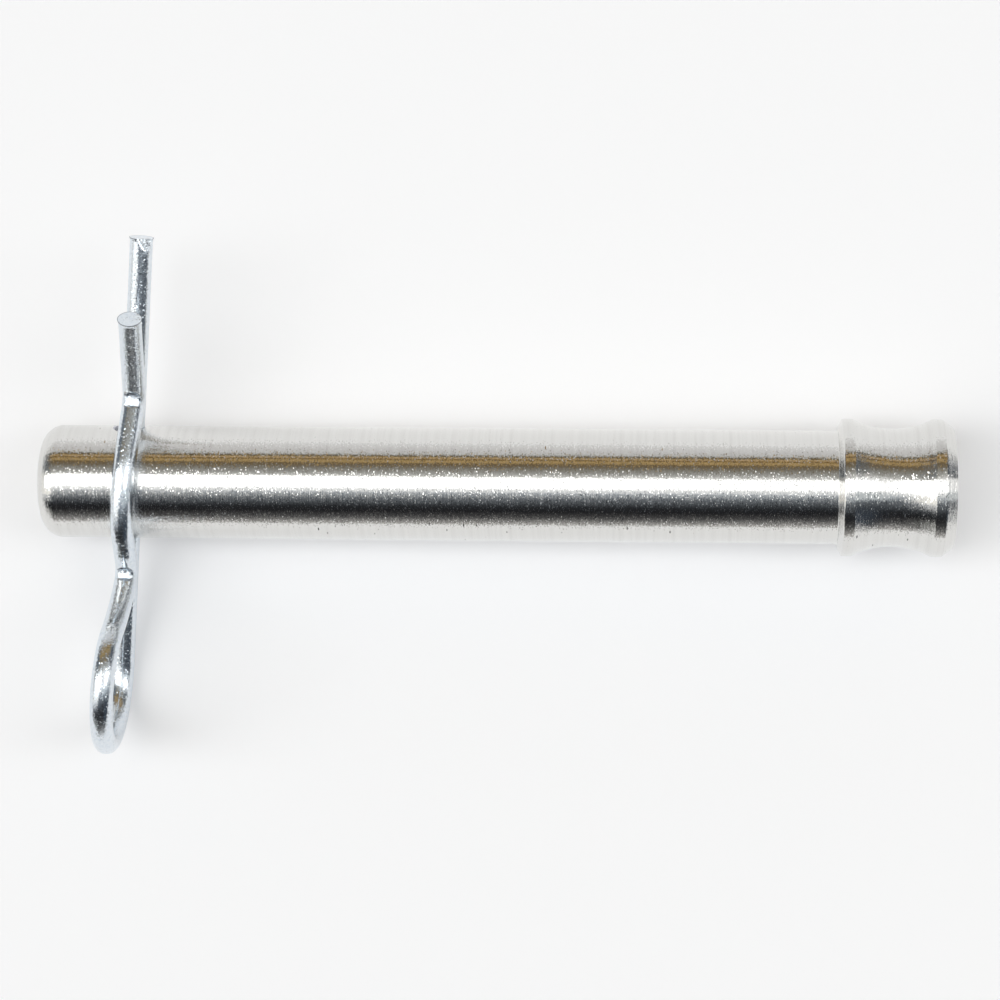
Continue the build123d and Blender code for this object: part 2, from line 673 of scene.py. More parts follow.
@dataclass(frozen=True)
class TurnedSteelFinish:
    """Bare bright steel, turned on a lathe, with fine rings round its axis."""

    colour: Colour = (0.76, 0.755, 0.735)
    dull_colour: Colour = (0.62, 0.61, 0.59)
    dull_patches: tuple[float, float] = (0.40, 0.75)
    dull_most: float = 0.30
    pit_colour: Colour = (0.10, 0.10, 0.11)
    # Pale colour painted into the cross hole's bore: painted light, for light that gets into the
    # hole.
    bore_painted_light: Colour = (0.90, 0.89, 0.93)
    hole_edge_share: float = 0.6
    hole_roughness: float = 0.5
    roughness: float = 0.12
    roughness_spread: tuple[float, float] = (0.85, 1.15)
    anisotropy: float = 1.0
    ring_pitch: float = 0.04 * MM
    ring_lean: float = 0.9
    broad_ring_pitch: float = 0.8 * MM
    grain_pitch: float = 0.15 * MM
    grain_lean: float = 85.0
    grain_squeeze: float = 0.6
    tick_lean: float = 0.9
    facing_pitch: float = 0.22 * MM
    facing_lean: float = 0.5
    end_skin: float = 0.01 * MM

    def _end_mask(self, bench: NodeBench, along: Socket, sizes: PinSizes) -> Socket:
        """Mask of the bar's two faced ends.

        Args:
            bench: Bench on the material's tree.
            along: Place along the axis, from the shoulder.
            sizes: Sizes of the pin.

        Returns:
            The mask: 1 on the two flat ends, 0 elsewhere.
        """
        near, far = self.end_skin, 2 * self.end_skin
        head = bench.remap(along, sizes.head_length - far, sizes.head_length - near)
        tip = bench.remap(along, far - sizes.shank_length, near - sizes.shank_length)
        return bench.math("MAXIMUM", head, tip)

    def _facing_lean(
        self, bench: NodeBench, place: Socket, along: Socket, axis: Point3, ends: Socket
    ) -> Socket:
        """Lean of the fine round marks that facing the ends leaves.

        Args:
            bench: Bench on the material's tree.
            place: Object coordinates.
            along: Place along the axis.
            axis: The pin's axis.
            ends: Mask of the two ends.

        Returns:
            The lean.
        """
        outward = bench.vector("SUBTRACT", place, bench.scaled(axis, along))
        wave = bench.line_noise(bench.vector("LENGTH", outward), self.facing_pitch, 2.0)
        amount = bench.product(bench.math("SUBTRACT", wave, 0.5), ends, self.facing_lean)
        return bench.scaled(bench.vector("NORMALIZE", outward), amount)

    def build(self, effects: EffectGroups, pose: RestingPose, sizes: PinSizes) -> Material:
        """Builds the material.

        Args:
            effects: The shared shader groups.
            pose: How the pin lies, for the direction of its axis.
            sizes: Sizes of the pin, for the cross hole.

        Returns:
            The material.
        """
        material, bench, shader = shader_material("Turned Steel")
        place = bench.add("ShaderNodeTexCoord").outputs["Object"]
        axis = tuple(pose.axis)
        along = bench.vector("DOT_PRODUCT", place, axis)
        squeezed = bench.scaled(axis, bench.product(along, self.grain_squeeze))
        spread = bench.vector("ADD", place, squeezed)
        speckle = bench.add(
            "ShaderNodeGroup", {"Vector": spread}, node_tree=effects.speckle
        ).outputs

        broad = bench.line_noise(along, self.broad_ring_pitch, 4.0)
        dull = bench.remap(broad, *self.dull_patches, 0.0, self.dull_most)
        colour = bench.blend(dull, self.colour, self.dull_colour)
        pitted = bench.blend(speckle["Pits"], colour, self.pit_colour)
        # The bore gets the pale painted-light colour, standing in for light that gets into the
        # hole, and a higher roughness.
        out = bench.off_line(place, pose.hole_centre, pose.hole)[1]
        hole_edge = sizes.hole_radius + self.hole_edge_share * sizes.hole_edge_break
        bore_lit_and_rough = bench.remap(out, hole_edge, sizes.hole_radius)
        bench.put(shader.inputs["Base Color"], bench.blend(bore_lit_and_rough, pitted, self.bore_painted_light))

        low, high = (self.roughness * share for share in self.roughness_spread)
        rough = bench.remap(speckle["Grain"], *GRAIN_RANGE, low, high)
        duller = bench.product(bore_lit_and_rough, self.hole_roughness - self.roughness)
        bench.put(shader.inputs["Roughness"], bench.math("ADD", rough, duller))
        shader.inputs["Anisotropic"].default_value = self.anisotropy
        tangent = bench.add("ShaderNodeCombineXYZ", dict(zip("XYZ", axis)))
        bench.put(shader.inputs["Tangent"], tangent.outputs["Vector"])

        grain = {"Vector": spread, "Scale": 1 / self.grain_pitch, "Lean": self.grain_lean}
        lean = bench.add("ShaderNodeGroup", grain, node_tree=effects.facet_normal)
        fine = bench.line_noise(along, self.ring_pitch, 2.0)
        ring = bench.product(bench.math("SUBTRACT", fine, 0.5), self.ring_lean)
        marks = {"Vector": place, "Along": along, "Axis": axis}
        ticks = bench.add("ShaderNodeGroup", marks, node_tree=effects.ticks).outputs["Mask"]
        ends = self._end_mask(bench, along, sizes)
        catch = bench.product(ticks, bench.math("SUBTRACT", 1.0, ends))
        uneven = lean.outputs["Normal"]
        for push in (
            bench.scaled(axis, ring),
            self._facing_lean(bench, place, along, axis, ends),
            bench.scaled((0.0, 0.0, self.tick_lean), catch),
        ):
            uneven = bench.vector("ADD", uneven, push)
        bench.put(shader.inputs["Normal"], bench.vector("NORMALIZE", uneven))
        return material


@dataclass(frozen=True)
class ZincWireFinish:
    """Drawn spring wire with a bright zinc plating, a little speckled."""

    colour: Colour = (0.77, 0.815, 0.855)
    dull_colour: Colour = (0.58, 0.66, 0.75)
    dull_patches: tuple[float, float] = (0.45, 0.70)
    dull_most: float = 0.5
    # A thin dark ring painted round each sheared end, just behind its face.
    end_ring_colour: Colour = (0.16, 0.18, 0.21)
    end_ring_depth: tuple[float, float] = (-0.14 * MM, -0.05 * MM)
    end_ring_rise: tuple[float, float] = (1.0, 1.04)
    end_ring_fall: tuple[float, float] = (1.4, 1.3)
    pit_colour: Colour = (0.30, 0.33, 0.37)
    pit_scale: float = 1300.0
    speckle_scale: float = 2600.0
    roughness: float = 0.17
    roughness_spread: tuple[float, float] = (0.8, 1.3)
    grain_pitch: float = 0.14 * MM
    grain_lean: float = 120.0
    hump_half: float = 11.3 * MM
    hump_edge: float = 0.8 * MM
    crown_half: float = 1.0 * MM
    upward: float = 0.2
    near_ease: float = 0.48
    far_ease: float = 0.3

    def _end_ring_mask(self, bench: NodeBench, place: Socket, end: CutEnd) -> Socket:
        """Mask of a thin ring round a sheared end, just behind its face, that is painted dark.

        Args:
            bench: Bench on the material's tree.
            place: Object coordinates.
            end: The sheared end.

        Returns:
            The mask.
        """
        back, out = bench.off_line(place, end.point, end.heading)
        edges = (
            bench.remap(out, *(share * end.radius for share in shares))
            for shares in (self.end_ring_rise, self.end_ring_fall)
        )
        return bench.product(bench.remap(back, *self.end_ring_depth), *edges)

    def _eased_hump(self, bench: NodeBench, place: Socket, normal: Socket) -> Socket:
        """Eases the shading of the hump's two flanks, for the look of the reflections there.

        Args:
            bench: Bench on the material's tree.
            place: Object coordinates.
            normal: The normal to ease.

        Returns:
            The eased normal.
        """
        across = bench.split(place)[1]
        lean = bench.split(normal)
        off = bench.math("ABSOLUTE", across)
        inside = bench.remap(off, self.hump_half, self.hump_half - self.hump_edge)
        above = bench.remap(lean[2], 0.0, self.upward)
        ease = bench.remap(across, 0.0, self.crown_half, -self.near_ease, -self.far_ease)
        push = bench.product(inside, above, ease, lean[1])
        moved = bench.vector("ADD", normal, bench.scaled((0.0, 1.0, 0.0), push))
        return bench.vector("NORMALIZE", moved)

    def build(self, effects: EffectGroups, ends: Sequence[CutEnd]) -> Material:
        """Builds the material.

        Args:
            effects: The shared shader groups.
            ends: The wire's sheared ends.

        Returns:
            The material.
        """
        material, bench, shader = shader_material("Zinc Wire")
        place = bench.add("ShaderNodeTexCoord").outputs["Object"]
        scales = {"Grain Scale": self.speckle_scale, "Pit Scale": self.pit_scale}
        speckle = bench.add(
            "ShaderNodeGroup", {"Vector": place, **scales}, node_tree=effects.speckle
        ).outputs

        dull = bench.remap(speckle["Grain"], *self.dull_patches, 0.0, self.dull_most)
        colour = bench.blend(dull, self.colour, self.dull_colour)
        colour = bench.blend(speckle["Pits"], colour, self.pit_colour)
        # Each sheared end gets a thin dark ring painted round it.
        for end in ends:
            colour = bench.blend(self._end_ring_mask(bench, place, end), colour, self.end_ring_colour)
        bench.put(shader.inputs["Base Color"], colour)

        low, high = (self.roughness * share for share in self.roughness_spread)
        rough = bench.remap(speckle["Grain"], *GRAIN_RANGE, low, high)
        bench.put(shader.inputs["Roughness"], rough)
        grain = {"Vector": place, "Scale": 1 / self.grain_pitch, "Lean": self.grain_lean}
        lean = bench.add("ShaderNodeGroup", grain, node_tree=effects.facet_normal)
        bench.put(shader.inputs["Normal"], self._eased_hump(bench, place, lean.outputs["Normal"]))
        return material


# --- Meshes ---

SHARP_ANGLE = 32.0


def bridge(
    shell: Shell,
    near: Sequence[Vertex],
    far: Sequence[Vertex],
) -> None:
    """Joins two closed rows with a ring of faces.

    Args:
        shell: The mesh.
        near: Vertices of one row in order.
        far: As many vertices of the other row.
    """
    for index in range(len(near)):
        after = (index + 1) % len(near)
        shell.faces.new((near[index], near[after], far[after], far[index]))


def finished_object(
    name: str,
    shell: Shell,
    material: Material,
    body: Body,
    node: str,
) -> Piece:
    """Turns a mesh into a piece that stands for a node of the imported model.

    Args:
        name: The piece's name.
        shell: Its mesh, which is freed.
        material: Its finish.
        body: The body that it rides on.
        node: The node that it stands for.

    Returns:
        The piece.
    """
    mesh = bpy.data.meshes.new(name)
    for face in shell.faces:
        face.smooth = True
    shell.to_mesh(mesh)
    shell.free()
    mesh.materials.clear()
    mesh.materials.append(material)
    mesh.set_sharp_from_angle(angle=radians(SHARP_ANGLE))
    piece = bpy.data.objects.new(name, mesh)
    bpy.context.scene.collection.objects.link(piece)
    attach(piece, body.value)
    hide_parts(node)
    log.info("%s: %d faces, rides on %s", name, len(mesh.polygons), body.value)
    return piece


# --- Pin ---


@dataclass(frozen=True)
class TurnedCorner:
    """A point of the turned outline: place along the axis, radius, and how far it is eased."""

    along: float
    out: float
    ease: float = 0.0


@dataclass
class HitchPin:
    """The turned pin: shank with crowned tip and cross hole, and spool-shaped head."""

    sizes: PinSizes = field(default_factory=PinSizes)
    tip_ease: float = 0.10 * MM
    crown_ease: float = 0.12 * MM
    shoulder_ease: float = 0.07 * MM
    collar_ease: float = 0.20 * MM
    edge_ease: float = 0.08 * MM
    rim_ease: float = 0.16 * MM
    ease_steps: int = 5
    ease_support: float = 1.6
    crown_steps: int = 14
    fillet_spacing: float = 0.05 * MM
    groove_steps: int = 40
    tip_margin: float = 1.0 * MM
    segments: int = 360
    mouth_steps: int = 24
    mouth_rings: int = 6
    break_rings: int = 5
    wall_rings: int = 12
    plain_ring_spacing: float = 4.0 * MM
    same_place: float = 1e-9

    def outline(self) -> list[Point2]:
        """The turned outline from the tip's centre to the head's, with eased edges.

        Returns:
            Place along the axis and radius of each ring.
        """
        s = self.sizes
        tip_edge = (-s.shank_length, s.shank_radius - s.tip_chamfer)
        crown_end = (-s.tip_contact, s.tip_radius)
        crown = bulged_points(tip_edge, crown_end, s.tip_crown, self.crown_steps)
        fillet_centre = (-s.root_fillet, s.shank_radius + s.root_fillet)
        fillet = arc_points(fillet_centre, s.root_fillet, -90, 0, self.fillet_spacing)
        groove_start = (s.collar_end, s.head_radius)
        groove_end = (s.rim_start, s.head_radius)
        groove = bulged_points(groove_start, groove_end, -s.groove_depth, self.groove_steps)
        outline = (
            (-s.shank_length, 0.0),
            (*tip_edge, self.tip_ease),
            *crown[1:-1],
            (*crown_end, self.crown_ease),
            *self._shank_rings(),
            *fillet,
            (0.0, s.shoulder_radius, self.shoulder_ease),
            (s.collar_bevel_length, s.head_radius, self.collar_ease),
            (*groove_start, self.edge_ease),
            *groove[1:-1],
            (*groove_end, self.edge_ease),
            (s.rim_end, s.head_radius, self.rim_ease),
            (s.head_length, s.head_radius - s.end_chamfer_depth, self.edge_ease),
            (s.head_length, 0.0),
        )
        return self._eased([TurnedCorner(*point) for point in outline])

    def _mouth_step(self) -> float:
        """Distance between rings beside the cross hole, the same as between segments."""
        return 2 * pi * self.sizes.shank_radius / self.segments

    def _shank_rings(self) -> list[Point2]:
        """Rings of the straight shank, close together where the cross hole leaves its mouths.

        Returns:
            Place along the axis and radius of each ring.
        """
        s = self.sizes
        hole_rings = [
            -s.hole_from_shoulder + self._mouth_step() * count
            for count in range(-self.mouth_steps, self.mouth_steps + 1)
        ]
        places = set(hole_rings)
        start = self.tip_margin - s.tip_contact
        for low, high in ((start, hole_rings[0]), (hole_rings[-1], -s.root_fillet)):
            count = max(1, ceil((high - low) / self.plain_ring_spacing))
            places.update(low + (high - low) * step / count for step in range(count + 1))
        return [(place, self._radius_at(place)) for place in sorted(places)]

    def _radius_at(self, along: float) -> float:
        """Radius of the shank at a place along the axis.

        Args:
            along: The place.

        Returns:
            The radius.
        """
        s = self.sizes
        lead_start = -(s.hole_from_shoulder - s.lead_before_hole)
        share = (along + s.tip_contact) / (lead_start + s.tip_contact)
        return s.tip_radius + (s.shank_radius - s.tip_radius) * max(0.0, min(1.0, share))

    def _eased(self, corners: Sequence[TurnedCorner]) -> list[Point2]:
        """Rounds the corners that have an ease, with a ring of support on both sides.

        Args:
            corners: The outline's corners in order.

        Returns:
            Place along the axis and radius of each ring.
        """
        spots = [Vector((corner.along, corner.out)) for corner in corners]
        points: list[Point2] = []
        for index, corner in enumerate(corners):
            here = spots[index]
            if corner.ease == 0:
                points.append((corner.along, corner.out))
                continue
            back = (spots[index - 1] - here).normalized()
            ahead = (spots[index + 1] - here).normalized()
            points.append(tuple(here + back * corner.ease * self.ease_support))
            for step in range(self.ease_steps + 1):
                t = step / self.ease_steps
                first = here + back * corner.ease
                last = here + ahead * corner.ease
                point = first * (1 - t) ** 2 + here * 2 * t * (1 - t) + last * t**2
                points.append((point.x, point.y))
            points.append(tuple(here + ahead * corner.ease * self.ease_support))
        return points

    def build(self, pose: RestingPose, material: Material) -> Piece:
        """Builds the pin as one closed shell.

        Args:
            pose: How the pin lies.
            material: Its finish.

        Returns:
            The pin.
        """
        rings = self.outline()
        start = -self.sizes.hole_from_shoulder - self._mouth_step() * self.mouth_steps
        first = next(
            index for index, ring in enumerate(rings) if abs(ring[0] - start) < self.same_place
        )
        shell = bmesh.new()
        grid = self._turn(shell, pose, rings, first)
        near, far = (self._mouth(shell, pose, rings, first, grid, side) for side in (1, -1))
        row = near
        for count in range(1, self.wall_rings + 1):
            previous = row
            t = count / self.wall_rings
            row = far
            if count < self.wall_rings:
                row = [shell.verts.new(a.co.lerp(b.co, t)) for a, b in zip(near, far)]
            bridge(shell, previous, row)
        bmesh.ops.recalc_face_normals(shell, faces=shell.faces)
        return finished_object(
            "hitch_pin_turned", shell, material, Body.PIN, "hitch_pin"
        )

    def _turn(
        self, shell: Shell, pose: RestingPose, rings: Sequence[Point2], first: int
    ) -> list[list[Optional[Vertex]]]:
        """Turns the outline about the axis, and leaves a square out at each mouth.

        Args:
            shell: The mesh.
            pose: How the pin lies.
            rings: Place along the axis and radius of each ring.
            first: The first ring of the squares.

        Returns:
            The vertices of each ring, with None inside the squares.
        """
        half, reach = self.segments // 2, self.mouth_steps
        last = first + 2 * reach
        grid: list[list[Optional[Vertex]]] = []
        for ring, (along, out) in enumerate(rings):
            if out == 0:
                grid.append([shell.verts.new(pose.spot(along, 0.0, 0.0))] * self.segments)
                continue
            row: list[Optional[Vertex]] = []
            for segment in range(self.segments):
                offset = segment % half
                inside = first < ring < last and min(offset, half - offset) < reach
                angle = 2 * pi * segment / self.segments
                row.append(None if inside else shell.verts.new(pose.spot(along, out, angle)))
            grid.append(row)
        for ring, (row, ahead) in enumerate(zip(grid, grid[1:])):
            for segment in range(self.segments):
                if first <= ring < last and not reach <= segment % half < half - reach:
                    continue
                after = (segment + 1) % self.segments
                corners = (row[segment], ahead[segment], ahead[after], row[after])
                shell.faces.new(list(dict.fromkeys(corners)))
        return grid

    def _mouth(
        self,
        shell: Shell,
        pose: RestingPose,
        rings: Sequence[Point2],
        first: int,
        grid: Sequence[Sequence[Optional[Vertex]]],
        side: int,
    ) -> list[Vertex]:
        """Fills the square round a mouth of the cross hole, with the mouth's broken edge.

        Args:
            shell: The mesh.
            pose: How the pin lies.
            rings: Place along the axis and radius of each ring.
            first: The first ring of the square.
            grid: The vertices of each ring.
            side: 1 for the mouth on the bow's side, -1 for the other.

        Returns:
            Vertices of the end of the hole's wall.
        """
        s = self.sizes
        half, reach = self.segments // 2, self.mouth_steps
        last = first + 2 * reach
        border = (
            [(first, offset) for offset in range(-reach, reach)]
            + [(ring, reach) for ring in range(first, last)]
            + [(last, offset) for offset in range(reach, -reach, -1)]
            + [(ring, -reach) for ring in range(last, first, -1)]
        )
        middle = -s.hole_from_shoulder
        loop = []
        bearings = []
        for ring, offset in border:
            segment = offset if side == 1 else half - offset
            loop.append(grid[ring][segment % self.segments])
            along = rings[ring][0] - middle
            angle = 2 * pi * offset / self.segments
            bearings.append((along, angle, atan2(s.shank_radius * sin(angle), along)))
        rows = [loop]
        outer = s.hole_radius + s.hole_edge_break
        for count in range(1, self.mouth_rings + 1):
            t = count / self.mouth_rings
            row = []
            for along, angle, bearing in bearings:
                place = middle + along * (1 - t) + outer * cos(bearing) * t
                out = self._radius_at(place)
                turn = angle * (1 - t) + asin(outer * sin(bearing) / out) * t
                around = turn if side == 1 else pi - turn
                row.append(shell.verts.new(pose.spot(place, out, around)))
            rows.append(row)
        for count in range(1, self.break_rings + 1):
            swing = pi / 2 * count / self.break_rings
            radius = s.hole_radius + s.hole_edge_break * (1 - sin(swing))
            depth = s.hole_edge_break * (1 - cos(swing))
            spots = (self._wall_spot(pose, side, radius, ray, depth) for *_, ray in bearings)
            rows.append([shell.verts.new(spot) for spot in spots])
        for outer_row, inner_row in zip(rows, rows[1:]):
            bridge(shell, outer_row, inner_row)
        return rows[-1]

    def _wall_spot(
        self, pose: RestingPose, side: int, radius: float, bearing: float, depth: float
    ) -> Vector:
        """A point near a mouth of the cross hole.

        Args:
            pose: How the pin lies.
            side: 1 for the mouth on the bow's side, -1 for the other.
            radius: Distance from the hole's axis.
            bearing: Angle round the hole's axis.
            depth: Depth below the shank's surface.

        Returns:
            The point of space.
        """
        along = radius * cos(bearing)
        across = radius * sin(bearing)
        out = self._radius_at(-self.sizes.hole_from_shoulder + along)
        height = sqrt(out * out - across * across) - depth
        return (
            pose.hole_centre + pose.axis * along + pose.rise * across + pose.hole * (height * side)
        )


# --- Clip ---


class WireSweepTree:
    """Geometry Nodes tree that sweeps a round wire along a line of edges."""

    def __init__(self) -> None:
        """Builds the tree."""
        self.tree = bpy.data.node_groups.new("Wire Sweep", "GeometryNodeTree")
        face = self.tree.interface
        face.new_socket(name="Line", in_out="INPUT", socket_type="NodeSocketGeometry")
        self.sockets = {
            label: face.new_socket(name=label, in_out="INPUT", socket_type=kind).identifier
            for label, kind in (
                ("Wire Radius", FLOAT),
                ("Sides", "NodeSocketInt"),
                ("Finish", "NodeSocketMaterial"),
            )
        }
        face.new_socket(name="Wire", in_out="OUTPUT", socket_type="NodeSocketGeometry")
        bench = NodeBench(self.tree)
        given = bench.add("NodeGroupInput").outputs
        curve = bench.add("GeometryNodeMeshToCurve", {"Mesh": given["Line"]})
        level = bench.add("GeometryNodeSetCurveNormal", {"Curve": curve.outputs["Curve"]})
        circle = bench.add(
            "GeometryNodeCurvePrimitiveCircle",
            {"Radius": given["Wire Radius"], "Resolution": given["Sides"]},
        )
        tube = bench.add(
            "GeometryNodeCurveToMesh",
            {
                "Curve": level.outputs["Curve"],
                "Profile Curve": circle.outputs["Curve"],
                "Fill Caps": True,
            },
        )
        real = bench.add("GeometryNodeRealizeInstances", {"Geometry": tube.outputs["Mesh"]})
        coat = bench.add(
            "GeometryNodeSetMaterial",
            {"Geometry": real.outputs["Geometry"], "Material": given["Finish"]},
        )
        bench.add("NodeGroupOutput", {"Wire": coat.outputs["Geometry"]})

    def sweep(self, line: Sequence[Vector], radius: float, sides: int, material: Material) -> Shell:
        """Sweeps the wire and returns it as a mesh.

        Args:
            line: Points of the wire's centreline.
            radius: Radius of the wire.
            sides: Number of sides round the wire.
            material: Its finish.

        Returns:
            The swept mesh, ring after ring, with flat ends.
        """
        mesh = bpy.data.meshes.new("wire_line")
        mesh.from_pydata(line, [(i, i + 1) for i in range(len(line) - 1)], [])
        carrier = bpy.data.objects.new("wire_line", mesh)
        bpy.context.scene.collection.objects.link(carrier)
        modifier = carrier.modifiers.new("Wire Sweep", "NODES")
        modifier.node_group = self.tree
        modifier[self.sockets["Wire Radius"]] = radius
        modifier[self.sockets["Sides"]] = sides
        modifier[self.sockets["Finish"]] = material
        graph = bpy.context.evaluated_depsgraph_get()
        swept = bpy.data.meshes.new_from_object(carrier.evaluated_get(graph))
        carrier.modifiers.remove(modifier)
        result = bmesh.new()
        result.from_mesh(swept)
        bpy.data.objects.remove(carrier)
        bpy.data.meshes.remove(mesh)
        bpy.data.meshes.remove(swept)
        return result


@dataclass
class HairpinClip:
    """The spring wire clip: straight leg, round bow, kink, hump over the shank, kink and tail."""

    sizes: ClipSizes = field(default_factory=ClipSizes)
    pin: PinSizes = field(default_factory=PinSizes)
    sides: int = 48
    spacing: float = 0.20 * MM
    close_spacing: float = 0.06 * MM
    end_run: float = 1.0 * MM
    end_points: int = 20
    mark_turn: float = 10.0
    near_mark_half: float = 0.58 * MM
    far_mark_half: float = 0.78 * MM
    mark_radius: float = 5.0 * MM
    mark_depth: float = 0.24 * MM
    mark_wall: float = 2.7
    mark_spread: float = 0.05
    mark_reach: float = 2.2
    flare_run: float = 0.55 * MM
    flare_share: float = 0.07
    facet_run: float = 1.7 * MM
    facet_depth: float = 0.55 * MM
    facet_up: float = 0.8
    facet_side: float = 0.6

    def centreline(self, pose: RestingPose) -> list[Vector]:
        """Points of the wire's centreline, from the straight leg's free end to the tail's.

        Args:
            pose: How the clip lies.

        Returns:
            The points of space in order.
        """
        s = self.sizes
        close, flank_spacing = self.close_spacing, 2 * self.close_spacing
        hump_radius = self.pin.shank_radius + s.wire_radius + s.hump_clearance
        kink_height = s.kink_across + s.kink_radius
        near_kink = (s.near_kink_along, kink_height)
        far_kink = (s.far_kink_along, kink_height)
        bow_centre = (s.bow_along, s.bow_radius)
        near_flank = self._flank_angle(hump_radius, near_kink, 1)
        far_flank = self._flank_angle(hump_radius, far_kink, -1)
        near_kink_end = s.bow_side_angle - 90
        far_kink_start = -90 - s.tail_angle

        # One sweeping arc leaves the near kink and runs tangent into the bow.
        sweep_start = polar(near_kink, s.kink_radius, near_kink_end)
        away = (sweep_start[0] - bow_centre[0], sweep_start[1] - bow_centre[1])
        inward = cos(radians(near_kink_end)) * away[0] + sin(radians(near_kink_end)) * away[1]
        excess = away[0] ** 2 + away[1] ** 2 - s.bow_radius**2
        sweep_radius = excess / (2 * (s.bow_radius + inward))
        sweep_centre = polar(sweep_start, sweep_radius, near_kink_end + 180)
        sweep_end = degrees(atan2(bow_centre[1] - sweep_centre[1], bow_centre[0] - sweep_centre[0]))
        tail_start = polar(far_kink, s.kink_radius, far_kink_start)
        tail_end = polar(tail_start, s.tail_length, 180 - s.tail_angle)
        tail_break = polar(tail_end, self.end_run, -s.tail_angle)

        leg = [(-s.free_length, 0.0)]
        leg += line_points(leg[-1], (self.facet_run - s.free_length, 0.0), close)
        leg += line_points(leg[-1], (s.bow_along, 0.0), 4 * self.spacing)
        leg += arc_points(bow_centre, s.bow_radius, -90, 90, self.spacing)
        spring: list[Point2] = []
        for centre, radius, start, end, spacing in (
            (bow_centre, s.bow_radius, 90, sweep_end + 180, self.spacing),
            (sweep_centre, sweep_radius, sweep_end, near_kink_end, self.spacing),
            (near_kink, s.kink_radius, near_kink_end, near_flank - 180, close),
            ((0, 0), hump_radius, near_flank, far_flank, self.spacing),
            (far_kink, s.kink_radius, far_flank - 180, far_kink_start, close),
        ):
            first = polar(centre, radius, start)
            if spring and hypot(first[0] - spring[-1][0], first[1] - spring[-1][1]) > close:
                spring += line_points(spring[-1], first, flank_spacing)
            spring += arc_points(centre, radius, start, end, spacing)
        spring += line_points(spring[-1], tail_break, self.spacing)
        spring += line_points(spring[-1], tail_end, close)
        leg_plane = SketchPlane(pose.hole_centre, pose.leg, pose.rise)
        spring_plane = self._spring_plane(pose)
        return [leg_plane.place(p) for p in leg] + [spring_plane.place(p) for p in spring]

    def _flank_angle(self, hump_radius: float, kink: Point2, side: int) -> float:
        """Angle on the hump's circle where the straight flank to a kink leaves it.

        Args:
            hump_radius: Radius of the hump's circle.
            kink: Centre of the kink's circle.
            side: 1 for the near kink, -1 for the far one.

        Returns:
            The angle in degrees.
        """
        spread = degrees(acos((hump_radius + self.sizes.kink_radius) / hypot(*kink)))
        return degrees(atan2(kink[1], kink[0])) + side * spread

    def cut_ends(self, pose: RestingPose) -> list[CutEnd]:
        """The wire's two sheared ends.

        Args:
            pose: How the clip lies.

        Returns:
            The free end of the straight leg and the tail's end.
        """
        line = self.centreline(pose)
        radius = self.sizes.wire_radius
        return [
            CutEnd(line[0], (line[0] - line[self.end_points]).normalized(), radius),
            CutEnd(line[-1], (line[-1] - line[-self.end_points]).normalized(), radius),
        ]

    def _spring_plane(self, pose: RestingPose) -> SketchPlane:
        """The plane of the hump and the kinks, turned about the top of the bow.

        Args:
            pose: How the clip lies.

        Returns:
            The plane.
        """
        s = self.sizes
        bow_top = 2 * s.bow_radius
        turn = degrees(asin(s.side_step / (bow_top - s.kink_across)))
        turned_rise = turned(pose.rise, pose.leg, turn)
        origin = pose.hole_centre + pose.rise * bow_top - turned_rise * bow_top
        return SketchPlane(origin, pose.leg, turned_rise)

    def _press_kinks(self, wire: Shell, pose: RestingPose) -> None:
        """Presses the flat mark of the bending tool into the inner side of both kinks.

        Args:
            wire: The swept wire.
            pose: How the clip lies.
        """
        s = self.sizes
        plane = self._spring_plane(pose)
        normal = turned(plane.across, plane.along.cross(plane.across), self.mark_turn)
        sideways = plane.along.cross(plane.across).normalized()
        ahead = normal.cross(sideways).normalized()
        for along, half in (
            (s.near_kink_along, self.near_mark_half),
            (s.far_kink_along, self.far_mark_half),
        ):
            valley = plane.place((along, s.kink_across + s.wire_radius))
            for vertex in wire.verts:
                away = vertex.co - valley
                if away.length > self.mark_reach * s.wire_radius:
                    continue
                run = abs(away.dot(ahead))
                nose = min(run, half)
                limit = nose * nose / (2 * self.mark_radius) - self.mark_depth
                limit += max(0.0, run - half) * self.mark_wall
                over = away.dot(normal) - limit
                if over > 0 and run < 2 * half:
                    vertex.co -= normal * over
                    vertex.co += sideways * (away.dot(sideways) * self.mark_spread)

    def _spread_ends(self, wire: Shell, line: Sequence[Vector]) -> None:
        """Gives both ends the slight flare of a shear cut, and the free end its pressed facet.

        Args:
            wire: The swept wire.
            line: Points of its centreline, one for each ring.
        """
        s = self.sizes
        up = Vector((0, 0, 1))
        for end, inward in ((0, 1), (len(line) - 1, -1)):
            run = 0.0
            ring = end
            heading = (line[end] - line[end + inward]).normalized()
            level = heading.cross(up).normalized()
            crown = level.cross(heading)
            facing = (crown * self.facet_up + level * self.facet_side).normalized()
            while run < self.facet_run:
                centre = line[ring]
                for side in range(self.sides):
                    vertex = wire.verts[ring * self.sides + side]
                    radial = vertex.co - centre
                    if run < self.flare_run:
                        share = 1 - run / self.flare_run
                        radial *= 1 + self.flare_share * share * share
                    if end == 0:
                        limit = s.wire_radius - self.facet_depth * (1 - run / self.facet_run)
                        over = radial.dot(facing) - limit
                        if over > 0:
                            radial -= facing * over
                    vertex.co = centre + radial
                ring += inward
                run = (line[ring] - line[end]).length

